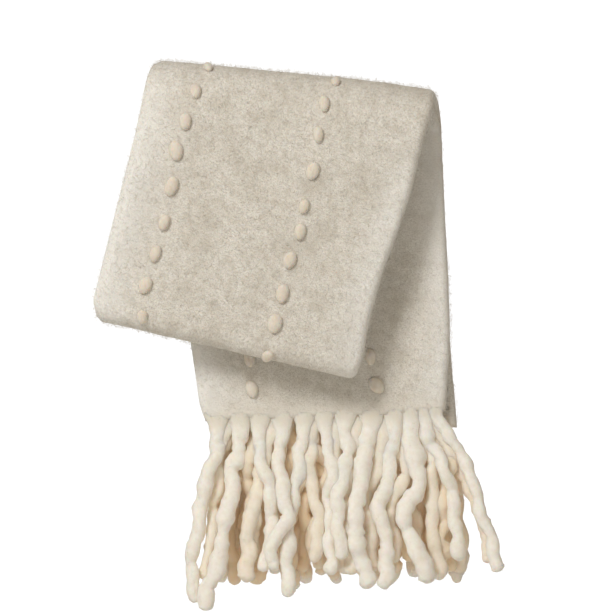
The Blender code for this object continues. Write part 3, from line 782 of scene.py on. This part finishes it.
fringeSizes = {
    "stripLength": 0.006,
    "partGap": 0.0003,
    "rootWidth": 0.0092,
    "strandWidth": 0.0097,
    "strandLength": 0.172,
    "lengthShares": (0.88, 1.02),
    "strandGap": 0.0020,
    "levelStep": 0.027,
    "belowRoots": 0.002,
    "levelsToSpread": 4,
    "shortestEnd": 0.25,  # a shorter share of a level is left off at the tip
    "rowSpread": 0.0096,
    "outerRowStrands": 12,
    "innerRowStrands": 8,
    "hemInset": 0.016,
    "rootStray": 0.16,  # of the space between two strands
    "fan": 0.062,  # the strands spread this much wider than the hem
    "fanMiddle": 0.42,
    "leanStray": 0.010,
    "sways": (0.003, 0.010),
    "swayLength": 0.022,
    "spreadingRounds": 400,
    "largestPush": 0.003,
    "pushFall": 0.8,  # the share of it that is gone by the last round
    "freePush": 0.4,  # the share of an overlap that one push takes off
    "pinnedPush": 0.7,
    "leastShare": 0.25,  # of a push that reaches the level below it
    "seed": 7,
    "shapeSeeds": {"front": 400, "rear": 500},
    "sides": 12,
    "ringStep": 0.0042,
    "radius": 0.0077,
    "widestRoot": 0.0175,
    "endRoot": 0.009,  # how far the outermost roots reach to the free side
    "rootOverlap": 0.0016,
    "webReach": 0.026,
    "webFall": 2.3,
    "hemDepth": 0.0038,  # half the thickness of a root where it leaves the hem
    "thinnest": 0.0012,  # and at its end inside the hem
    "intoHem": 0.012,
    "roundBelow": 0.022,  # a strand is round from here down
    "roundShare": 0.95,
    "looseBelow": 0.040,  # and its lumps and kinks are whole from here down
    "plump": (0.96, 1.10),
    "slowLumps": (0.38, 0.017),  # share of the thickness, length
    "fineLumps": (0.20, 0.006),
    "faceLumps": 0.20,
    "faceLumpSteps": (1.3, 0.45),  # through the noise: once round a strand, from ring to ring
    "kinkLength": 0.024,
    "kinksPlaced": (0.0045, 0.0075),  # of the strands that were read from the picture
    "kinksFree": (0.009, 0.014),
    "tipLength": 0.0075,
    "rootBlend": 0.018,  # a root takes on the hem's tone down to here
    "insideByRow": 0.27,  # how much more painted warm shade each row has than the one in front of it
    "insideByBack": 0.45,  # and the back of a strand than its front
}
tipShares = (1.0, 0.74, 0.50, 0.29, 0.13, 0.03)
checkedShares = (0.0, 0.12, 0.25, 0.5, 0.75)
frontDepths = (0.0, 0.035, 0.070, 0.105, 0.140, 0.175)
fineDepths = tuple(0.0175 * i for i in range(12))
# the strands that show at the front, in millimetres: x at the twelve fine depths,
# then the length, how far it stands forward of its row, and how plump it is
frontStrands = (
    (-85, -84, -86, -96, -98, -102, -102, -105, -107, -111, -109, -107, 200, 0, 1.00),
    (-57, -54, -57, -65, -66, -71, -75, -77, -77, -83, -88, -95, 212, 6, 1.20),
    (-36, -37, -35, -31, -23, -20, -21, -22, -26, -30, -31, -31, 168, 0, 0.95),
    (-9, -12, -10, -13, -10, -8, 0, -17, -25, -19, -16, -16, 165, 11, 1.02),
    (15, 10, 11, 8, 7, -1, 1, -4, -2, -4, -2, 1, 197, 5, 1.00),
    (39, 40, 43, 45, 45, 43, 43, 43, 44, 46, 47, 47, 178, 0, 1.00),
    (61, 65, 66, 64, 59, 55, 54, 55, 58, 60, 61, 61, 158, 3, 1.00),
    (93, 87, 85, 83, 80, 74, 73, 74, 77, 80, 87, 97, 188, 8, 1.18),
    (119, 117, 114, 111, 108, 104, 103, 103, 105, 110, 115, 103, 196, 6, 1.05),
    (138, 138, 138, 141, 149, 145, 133, 129, 135, 146, 156, 162, 188, 11, 1.18),
    (153, 156, 164, 170, 177, 180, 184, 188, 190, 189, 182, 170, 164, 3, 1.05),
    (170, 181, 189, 198, 205, 211, 216, 222, 227, 233, 238, 240, 176, 4, 0.95),
)
secondStrands = (
    (-73, -74, -79, -83, -82, -86, -85, -88, -92, -95, -97, -97, 176, 0, 0.95),
    (-19, -22, -27, -34, -39, -42, -45, -46, -49, -53, -55, -55, 180, 3, 1.05),
    (26, 24, 22, 22, 24, 27, 31, 31, 31, 28, 24, 22, 165, 2, 0.98),
    (49, 50, 53, 54, 56, 59, 61, 63, 63, 62, 60, 60, 178, 0, 1.00),
    (77, 75, 73, 71, 69, 67, 66, 65, 65, 67, 71, 71, 176, 6, 1.00),
    (105, 104, 101, 97, 95, 91, 89, 89, 91, 94, 97, 97, 172, 1, 1.00),
    (129, 130, 130, 132, 130, 122, 116, 115, 116, 116, 117, 117, 170, 1, 0.95),
    (148, 154, 159, 161, 160, 159, 160, 161, 163, 166, 169, 169, 184, 0, 0.95),
    (162, 168, 176, 186, 196, 205, 212, 217, 221, 222, 229, 232, 172, 0, 0.95),
)


def hemDistance(end):
    return clothSizes["hemStep"] if end == "front" else 0.0


def hemEnds(end):
    height = (-1 if end == "front" else 1) * (runRadius + layerPitch)
    inset = fringeSizes["hemInset"]
    left = hangOverBar(leftX + inset, hemDistance(end), height)
    right = hangOverBar(rightX - inset / 3, hemDistance(end), height)
    return left.x, right.x


def widthAt(targetX, end, height):
    low, high = leftX, rightX
    for _ in range(30):
        middle = (low + high) / 2
        if hangOverBar(middle, hemDistance(end), height).x < targetX:
            low = middle
        else:
            high = middle
    return (low + high) / 2


def ruledStrands(end, part, chooser):
    # the strands of a row that the picture doesn't show
    size = fringeSizes
    count = size["outerRowStrands" if part == "outer" else "innerRowStrands"]
    left, right = hemEnds(end)
    step = (right - left) / count
    strands = []
    for i in range(count):
        root = left + (i + 0.5 + chooser.uniform(-size["rootStray"], size["rootStray"])) * step
        share = (root - left) / (right - left)
        lean = size["fan"] * (share - size["fanMiddle"])
        lean += chooser.uniform(-size["leanStray"], size["leanStray"])
        sway = chooser.uniform(*size["sways"]) * chooser.choice((-1, 1))
        phase = chooser.uniform(0, 2 * math.pi)
        xs = [
            root + lean * (d / frontDepths[-1])
            + sway * (math.sin(d / size["swayLength"] + phase) - math.sin(phase))
            for d in frontDepths
        ]
        strands.append((xs, size["strandLength"] * chooser.uniform(*size["lengthShares"]), 0.0, None, 1.0))
    return strands


def placedStrand(entry):
    fine = [value / 1000 for value in entry[:12]]
    length, forward, plump = entry[12:]
    return fine[::2], length / 1000, forward / 1000, fine, plump


def strandRows(end):
    # by part of the folded width: row from the outer face, height in the stack, strands
    chooser = random.Random(fringeSizes["seed"] + (1 if end == "front" else 2))
    outward = -1 if end == "front" else 1
    tables = {"outer": frontStrands, "tucked": secondStrands} if end == "front" else {}
    rows = {}
    layers = {"outer": 1.5, "tucked": 0.5, "middle": -0.5, "inner": -1.5}
    for depth, (part, layer) in enumerate(layers.items()):
        strands = [placedStrand(entry) for entry in tables.get(part, ())] or ruledStrands(end, part, chooser)
        rows[part] = (depth, outward * (runRadius + layer * layerPitch), strands)
    return rows


def plannedStrands(end):
    # row, height in the stack, place across the width, strand
    halfRoot, gap = fringeSizes["rootWidth"] / 2, fringeSizes["partGap"]
    first, last = innerLeft + halfRoot + gap, rightX - halfRoot - gap
    rows = strandRows(end)
    planned = []
    for part, _ in acrossCells:
        if part in rows:
            depth, height, strands = rows[part]
            places = [float(np.clip(widthAt(s[0][0], end, height), first, last)) for s in strands]
            for x, strand in sorted(zip(places, strands), reverse=part in ("inner", "tucked")):
                planned.append((depth, height, x, strand))
    return planned


def firstRoutes(strands, levels):
    places = np.zeros((len(strands), len(levels), 2))
    for i, strand in enumerate(strands):
        root = strand["root"]
        for k, z in enumerate(levels):
            x = np.interp(root.z - z, frontDepths, strand["xs"])
            spread = (strand["row"] - 3.5) * fringeSizes["rowSpread"] + strand["middleY"] - strand["forward"]
            places[i, k] = (x, root.y + smooth(k / fringeSizes["levelsToSpread"]) * (spread - root.y))
    return places


def pushApart(places, needed, ranks, pinned, used):
    # strands that overlap move sideways, or back into their rank from the front
    pushes = fringeSizes
    rounds = pushes["spreadingRounds"]
    order = np.sign(ranks[:, None] - ranks[None])[:, :, None]
    bothPinned = (pinned[:, None] & pinned[None])[:, :, None]
    each = np.arange(len(places))
    for turn in range(rounds):
        largest = pushes["largestPush"] * (1 - pushes["pushFall"] * turn / rounds)
        for share in checkedShares:
            here = places[:, :-1] * (1 - share) + places[:, 1:] * share
            size = needed[:-1] * (1 - share) + needed[1:] * share
            apart = here[:, None] - here[None]
            overlap = size - np.abs(apart)
            clash = (overlap > 0).all(axis=3) & used[:, None, 1:] & used[None, :, 1:]
            clash[each, each] = False
            depthMove = size[:, 1] - apart[..., 1] * order
            alongX = ((overlap[..., 0] < depthMove) | (order == 0)) & ~bothPinned
            weight = np.where(pinned[None, :, None], pushes["pinnedPush"], pushes["freePush"]) * clash
            side = np.where(apart[..., 0] < 0, -1.0, 1.0)
            move = np.zeros_like(here)
            move[..., 0] = (side * overlap[..., 0] * weight * alongX).sum(axis=1)
            move[..., 1] = (order * depthMove * weight * ~alongX).sum(axis=1)
            move[pinned, :, 0] = 0.0
            move = np.clip(move, -largest, largest)
            places[:, 1:] += move * max(share, pushes["leastShare"])
            places[:, 1:-1] += move[:, 1:] * (1 - share)
    return places


def allStrands():
    strands = []
    size = fringeSizes
    for end in ("front", "rear"):
        for depth, height, x, (xs, length, forward, fine, plump) in plannedStrands(end):
            distance = hemDistance(end)
            strands.append({
                "end": end, "xs": xs, "length": length, "forward": forward,
                "fine": fine, "plump": plump, "pinned": fine is not None,
                "root": hangOverBar(x, distance - size["stripLength"] - size["partGap"], height),
                "hem": hangOverBar(x, distance + size["intoHem"], height),
                "middleY": hangOverBar(x, 0.0, 0.0).y,
                "row": depth if end == "front" else 7 - depth,
                "layer": depth,
            })
    top = min(s["root"].z for s in strands) - size["belowRoots"]
    lowest = min(s["root"].z - s["length"] for s in strands)
    count = math.ceil((top - lowest) / size["levelStep"]) + 1
    levels = [top - size["levelStep"] * k for k in range(count)]
    needed = np.full((len(levels), 2), size["strandWidth"] + size["strandGap"])
    needed[0] = (size["rootWidth"], clothSizes["thickness"])
    pinned = np.array([s["pinned"] for s in strands])
    used = np.array([[z > s["root"].z - s["length"] - size["levelStep"] for z in levels] for s in strands])
    ranks = np.array([s["row"] - s["forward"] / size["rowSpread"] for s in strands])
    places = pushApart(firstRoutes(strands, levels), needed, ranks, pinned, used)
    for i, strand in enumerate(strands):
        strand["route"] = strandRoute(strand, levels, places[i], used[i])
    shareTheHem(strands)
    return strands


def shareTheHem(strands):
    # each root spreads along the hem until it meets the roots beside it
    size = fringeSizes
    for end in ("front", "rear"):
        for layer in range(4):
            row = [s for s in strands if (s["end"], s["layer"]) == (end, layer)]
            row.sort(key=lambda s: s["root"].x)
            gaps = [(b["root"] - a["root"]).length / 2 for a, b in zip(row, row[1:])]
            gaps = [size["endRoot"]] + gaps + [size["endRoot"]]
            for strand, *sides in zip(row, gaps, gaps[1:]):
                strand["rootSides"] = [min(side + size["rootOverlap"], size["widestRoot"]) for side in sides]


def strandRoute(strand, levels, places, used):
    tipZ = strand["root"].z - strand["length"]
    route = []
    fine = strand["fine"]
    for k, (z, place, on) in enumerate(zip(levels, places, used)):
        if not on:
            break
        if fine and k:
            # halfway between two levels, a strand that was read from the picture has its own place
            halfway = (levels[k - 1] + z) / 2
            if halfway > tipZ:
                x = np.interp(strand["root"].z - halfway, fineDepths, fine)
                route.append(Vector((x, (places[k - 1][1] + place[1]) / 2, halfway)))
            place = (np.interp(strand["root"].z - z, fineDepths, fine), place[1])
        point = Vector((place[0], place[1], z))
        if z < tipZ:
            share = (route[-1].z - tipZ) / (route[-1].z - z)
            if share > fringeSizes["shortestEnd"]:
                route.append(route[-1].lerp(point, share))
            break
        route.append(point)
    return route


def curveThrough(corners, step):
    # points a step apart on a smooth curve through the corners, with the distance of each from the start
    padded = [2 * corners[0] - corners[1]] + corners + [2 * corners[-1] - corners[-2]]
    found, distances, done = [corners[0]], [0.0], 0.0
    for k in range(len(corners) - 1):
        p0, p1, p2, p3 = padded[k:k + 4]
        cells = max(2, round((p2 - p1).length / step))
        for i in range(cells):
            t = (i + 1) / cells
            point = 0.5 * (
                2 * p1 + (p2 - p0) * t + (2 * p0 - 5 * p1 + 4 * p2 - p3) * t * t
                + (3 * p1 - p0 - 3 * p2 + p3) * t * t * t)
            done += (point - found[-1]).length
            found.append(point)
            distances.append(done)
    return found, distances


def ringDistances(total):
    # even steps, then closer ones over the rounded tip
    straight = total - fringeSizes["tipLength"]
    count = round(straight / fringeSizes["ringStep"])
    return [straight * i / count for i in range(count)] + [
        total - fringeSizes["tipLength"] * share for share in tipShares]


def strandRings(strand, number, chooser):
    # centre, reach to the left and right, half depth and nearness to the hem of each ring
    size = fringeSizes
    curve, passed = curveThrough([strand["hem"], strand["root"]] + strand["route"], size["ringStep"])
    curve = np.array(curve)
    plump = strand["plump"] * chooser.uniform(*size["plump"])
    kinks = chooser.uniform(*size["kinksPlaced" if strand["fine"] else "kinksFree"])
    phase = chooser.uniform(0, 50)
    slowShare, slowLength = size["slowLumps"]
    fineShare, fineLength = size["fineLumps"]
    total = passed[-1]
    rings = []
    for distance in ringDistances(total):
        centre = Vector([np.interp(distance, passed, curve[:, k]) for k in range(3)])
        below = distance - size["intoHem"]
        loose = smooth(below / size["looseBelow"])
        lumps = slowShare * noise.noise(Vector((distance / slowLength, phase, number)))
        lumps += fineShare * noise.noise(Vector((distance / fineLength, phase, number + 0.5)))
        kinkAt = distance / size["kinkLength"]
        sway = Vector([noise.noise(Vector((kinkAt, phase, at))) for at in (4.4, 9.9)] + [0])
        web = (1 - min(max(below / size["webReach"], 0.0), 1.0)) ** size["webFall"]
        radius = size["radius"] * plump * (1 + loose * lumps)
        tip = math.sqrt(1 - max(1 - (total - distance) / size["tipLength"], 0.0) ** 2)
        left, right = (max(radius, radius + (side - radius) * web) * tip for side in strand["rootSides"])
        deep = size["hemDepth"]
        if below < 0:
            deep = size["thinnest"] + (deep - size["thinnest"]) * smooth(1 + below / size["intoHem"])
        deep += (radius * size["roundShare"] - size["hemDepth"]) * smooth(below / size["roundBelow"])
        nearHem = 1 - smooth(below / size["rootBlend"])
        rings.append((centre + sway * kinks * loose, left, right, deep * tip, nearHem))
    return rings


def makeStrands(name, strands, material):
    size = fringeSizes
    points, faces, inside, nearHems = [], [], [], []
    sides = size["sides"]
    around, onward = size["faceLumpSteps"]
    for number, strand in enumerate(strands):
        rings = strandRings(strand, number, random.Random(size["shapeSeeds"][strand["end"]] + number))
        start = len(points)
        # painted shade: the rows further in and the backs of strands take the warm shade colour
        rowShade = size["insideByRow"] * min(strand["row"], 7 - strand["row"])
        for k, (centre, left, right, deep, nearHem) in enumerate(rings):
            before, after = rings[max(k - 1, 0)][0], rings[min(k + 1, len(rings) - 1)][0]
            forward = (after - before).normalized()
            back = (Vector((0, 1, 0)) - forward * forward.y).normalized()
            sideways = forward.cross(back)
            for side in range(sides):
                turn = 2 * math.pi * side / sides
                a, b = math.cos(turn), math.sin(turn)
                lump = noise.noise(Vector((a * around, b * around, k * onward + number * 5)))
                thick = 1 + size["faceLumps"] * lump
                wide = right if a > 0 else left
                points.append(centre + sideways * (a * wide * thick) + back * (b * deep * thick))
                nearHems.append(nearHem)
                inside.append(min(rowShade + size["insideByBack"] * max(b, 0.0), 1.0))
        faces += ringFaces(start, len(rings), sides)
        last = len(points) - sides
        faces.append([start + side for side in reversed(range(sides))])
        faces.append([last + side for side in range(sides)])
    piece = makePiece(name, points, faces, material)
    paintPoints(piece, "inside", inside)
    paintPoints(piece, "nearHem", nearHems)
    faceOutwards(piece)
    return piece


# Mohair fuzz: short bent hairs scattered over what shows

fuzzSizes = {
    "hairLength": 0.0066,
    "hairHalfThickness": 0.00011,
    "hairBend": 0.0018,
    "bendShares": (0.5, 1.0, 1.6),
    "flattest": 0.12,  # a hair that would point into the cloth is lifted to this
    "flapTurnsAt": 0.35,  # the flap's hairs stop where its faces turn this far to the back
    "panelTop": -0.17,
}
# for each patch: hairs, rise, seed, smallest and largest scale, thickness
fuzzPatches = {
    "flapFuzz": (33000, 0.42, 11, 0.5, 1.25, 1.0),
    "panelFuzz": (11000, 0.42, 12, 0.5, 1.25, 1.0),
    "backFuzz": (20000, 0.42, 13, 0.5, 1.25, 1.0),
    "bobbleFuzz": (3000, 0.42, 16, 0.3, 0.6, 1.0),
    "frontFringeFuzz": (18000, 0.60, 14, 0.35, 0.75, 2.0),
    "rearFringeFuzz": (18000, 0.60, 15, 0.35, 0.75, 2.0),
}


def makeHair(name, bend, thickness, material):
    # a spindle with a bent middle: base, ring of three, tip
    half = fuzzSizes["hairHalfThickness"] * thickness
    length = fuzzSizes["hairLength"]
    points = [Vector((0, 0, 0))]
    for i in range(3):
        turn = 2 * math.pi * i / 3
        points.append(Vector((bend + half * math.cos(turn), half * math.sin(turn), length * 0.5)))
    points.append(Vector((bend * 0.2, bend * 0.4, length)))
    faces = [(0, 2, 1), (0, 3, 2), (0, 1, 3), (4, 1, 2), (4, 2, 3), (4, 3, 1)]
    return makePiece(name, points, faces, material)


def scatterTree(hairs, material):
    tree = bpy.data.node_groups.new("scatterHairs", "GeometryNodeTree")
    tree.interface.new_socket("Geometry", in_out="OUTPUT", socket_type="NodeSocketGeometry")
    tree.interface.new_socket("Geometry", in_out="INPUT", socket_type="NodeSocketGeometry")
    sockets = {}
    for name, kind, value in (
            ("Density", "NodeSocketFloat", 1000.0), ("Rise", "NodeSocketFloat", 0.4),
            ("Smallest", "NodeSocketFloat", 0.5), ("Largest", "NodeSocketFloat", 1.2),
            ("Seed", "NodeSocketInt", 1)):
        socket = tree.interface.new_socket(name, in_out="INPUT", socket_type=kind)
        socket.default_value = value
        sockets[name] = socket.identifier
    given = addNode(tree, "NodeGroupInput")
    points = addNode(tree, "GeometryNodeDistributePointsOnFaces", {
        "Mesh": given.outputs["Geometry"], "Density": given.outputs["Density"],
        "Seed": given.outputs["Seed"]})
    lying = addNode(tree, "FunctionNodeRandomValue", {
        "Min": (-1.0, -1.0, -1.0), "Max": (1.0, 1.0, 1.0), "Seed": given.outputs["Seed"]},
        data_type="FLOAT_VECTOR")
    outwards = addNode(tree, "ShaderNodeVectorMath", {
        0: points.outputs["Normal"], "Scale": given.outputs["Rise"]}, operation="SCALE")
    leaning = addNode(tree, "ShaderNodeVectorMath", {
        0: lying.outputs["Value"], 1: outwards.outputs["Vector"]}, operation="ADD")
    # a hair that would point into the cloth is lifted off it
    inside = addNode(tree, "ShaderNodeVectorMath", {
        0: leaning.outputs["Vector"], 1: points.outputs["Normal"]}, operation="DOT_PRODUCT")
    short = addNode(tree, "ShaderNodeMath", {
        0: fuzzSizes["flattest"], 1: inside.outputs["Value"]}, operation="SUBTRACT")
    lifted = addNode(tree, "ShaderNodeMath", {0: short.outputs[0], 1: 0.0}, operation="MAXIMUM")
    lift = addNode(tree, "ShaderNodeVectorMath", {
        0: points.outputs["Normal"], "Scale": lifted.outputs[0]}, operation="SCALE")
    heading = addNode(tree, "ShaderNodeVectorMath", {
        0: leaning.outputs["Vector"], 1: lift.outputs["Vector"]}, operation="ADD")
    turned = addNode(tree, "FunctionNodeAlignRotationToVector", {
        "Vector": heading.outputs["Vector"]}, axis="Z")
    size = addNode(tree, "FunctionNodeRandomValue", {
        2: given.outputs["Smallest"], 3: given.outputs["Largest"]}, data_type="FLOAT")
    which = addNode(tree, "FunctionNodeRandomValue", data_type="INT")
    which.inputs[4].default_value = 0
    which.inputs[5].default_value = len(hairs) - 1
    joined = addNode(tree, "GeometryNodeJoinGeometry")
    for hair in reversed(hairs):
        source = addNode(tree, "GeometryNodeObjectInfo", {"Object": hair, "As Instance": True})
        tree.links.new(source.outputs["Geometry"], joined.inputs[0])
    placed = addNode(tree, "GeometryNodeInstanceOnPoints", {
        "Points": points.outputs["Points"], "Instance": joined.outputs[0], "Pick Instance": True,
        "Rotation": turned.outputs["Rotation"], "Scale": size.outputs[1]})
    tree.links.new(which.outputs[2], placed.inputs["Instance Index"])
    tone = addNode(tree, "FunctionNodeRandomValue", data_type="FLOAT")
    stored = addNode(tree, "GeometryNodeStoreNamedAttribute", {
        "Geometry": placed.outputs["Instances"], "Name": "tone"}, data_type="FLOAT", domain="INSTANCE")
    tree.links.new(next(s for s in tone.outputs if s.enabled), next(
        s for s in stored.inputs if s.name == "Value" and s.enabled))
    real = addNode(tree, "GeometryNodeRealizeInstances", {"Geometry": stored.outputs["Geometry"]})
    finished = addNode(tree, "GeometryNodeSetMaterial", {
        "Geometry": real.outputs["Geometry"], "Material": material})
    addNode(tree, "NodeGroupOutput", {"Geometry": finished.outputs["Geometry"]})
    return tree, sockets


def groundFrom(piece, name, keepFace):
    # the part of a piece's surface that the hairs grow from
    mesh = piece.data
    faces = [list(p.vertices) for p in mesh.polygons if keepFace(p)]
    used = sorted({v for face in faces for v in face})
    renumbered = {v: i for i, v in enumerate(used)}
    points = [mesh.vertices[v].co for v in used]
    return makePiece(name, points, [[renumbered[v] for v in f] for f in faces], mesh.materials[0])


def growHairs(name, ground, material):
    count, rise, seed, smallest, largest, thickness = fuzzPatches[name]
    hairs = [
        makeHair(name + "Hair" + str(i), fuzzSizes["hairBend"] * share, thickness, material)
        for i, share in enumerate(fuzzSizes["bendShares"])
    ]
    tree, sockets = scatterTree(hairs, material)
    area = sum(p.area for p in ground.data.polygons)
    scatter = ground.modifiers.new("scatter", "NODES")
    scatter.node_group = tree
    for key, value in (
            ("Density", count / area), ("Rise", rise), ("Smallest", smallest), ("Largest", largest),
            ("Seed", seed)):
        scatter[sockets[key]] = value
    bpy.context.view_layer.update()
    evaluated = ground.evaluated_get(bpy.context.evaluated_depsgraph_get())
    mesh = bpy.data.meshes.new_from_object(evaluated)
    for old in [ground] + hairs:
        bpy.data.objects.remove(old, do_unlink=True)
    fuzz = bpy.data.objects.new(name, mesh)
    mesh.name = name
    bpy.context.scene.collection.objects.link(fuzz)
    report("{} has {} faces".format(name, len(mesh.polygons)))
    return fuzz


def makeFuzz(cloth, bobbles, front, rear):
    mesh = cloth.data
    outside = np.zeros(len(mesh.vertices), np.float32)
    mesh.attributes["outside"].data.foreach_get("value", outside)

    def isOutside(face):
        return all(outside[v] > 0.5 for v in face.vertices)

    def isFront(face):
        return isOutside(face) and face.normal.y < fuzzSizes["flapTurnsAt"] and face.center.y < 0.0

    def isPanel(face):
        forward = isOutside(face) and face.normal.y < 0.0 and face.center.y >= 0.0
        return forward and face.center.z < fuzzSizes["panelTop"]

    def isRear(face):
        return isOutside(face) and face.normal.y >= 0.0 and not isFront(face)

    def isAny(face):
        return True

    mohairHair = makeFibre("mohairHair", hairLook["mohair"])
    rovingHair = makeFibre("rovingHair", hairLook["roving"])
    return [
        growHairs(name + "Fuzz", groundFrom(piece, name + "Ground", keepFace), material)
        for name, piece, keepFace, material in (
            ("flap", cloth, isFront, mohairHair),
            ("panel", cloth, isPanel, mohairHair),
            ("back", cloth, isRear, mohairHair),
            ("bobble", bobbles, isAny, rovingHair),
            ("frontFringe", front, isAny, rovingHair),
            ("rearFringe", rear, isAny, rovingHair))
    ]


# The whole throw

def main():
    makeCamera()
    makeWorld()
    for name in ("key", "fill", "back"):
        makeAreaLight(name)
    makeFloor()
    report("camera, lights and floor are set")

    mohair = makeMohair()
    roving = makeRoving("softRoving", (1, 1, 1, 1), rovingLook["glowStrength"])
    slub = makeRoving("bobbleYarn", rovingLook["bobbleTint"], 0.0)
    cloth, flat = makeCloth(mohair)
    report("cloth is folded and hung")
    bobbles = makeBobbles(slub)
    report("bobbles are on")
    strands = allStrands()
    front = makeStrands("frontStrands", [s for s in strands if s["end"] == "front"], roving)
    rear = makeStrands("rearStrands", [s for s in strands if s["end"] == "rear"], roving)
    report("fringe is tied")

    pieces = [cloth, bobbles, front, rear]
    pieces += makeFuzz(cloth, bobbles, front, rear)
    report("fuzz has grown")
    for piece in pieces:
        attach(piece, "root")
    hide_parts("throw_cloth")
    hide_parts("front_fringe")
    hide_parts("rear_fringe")


main()
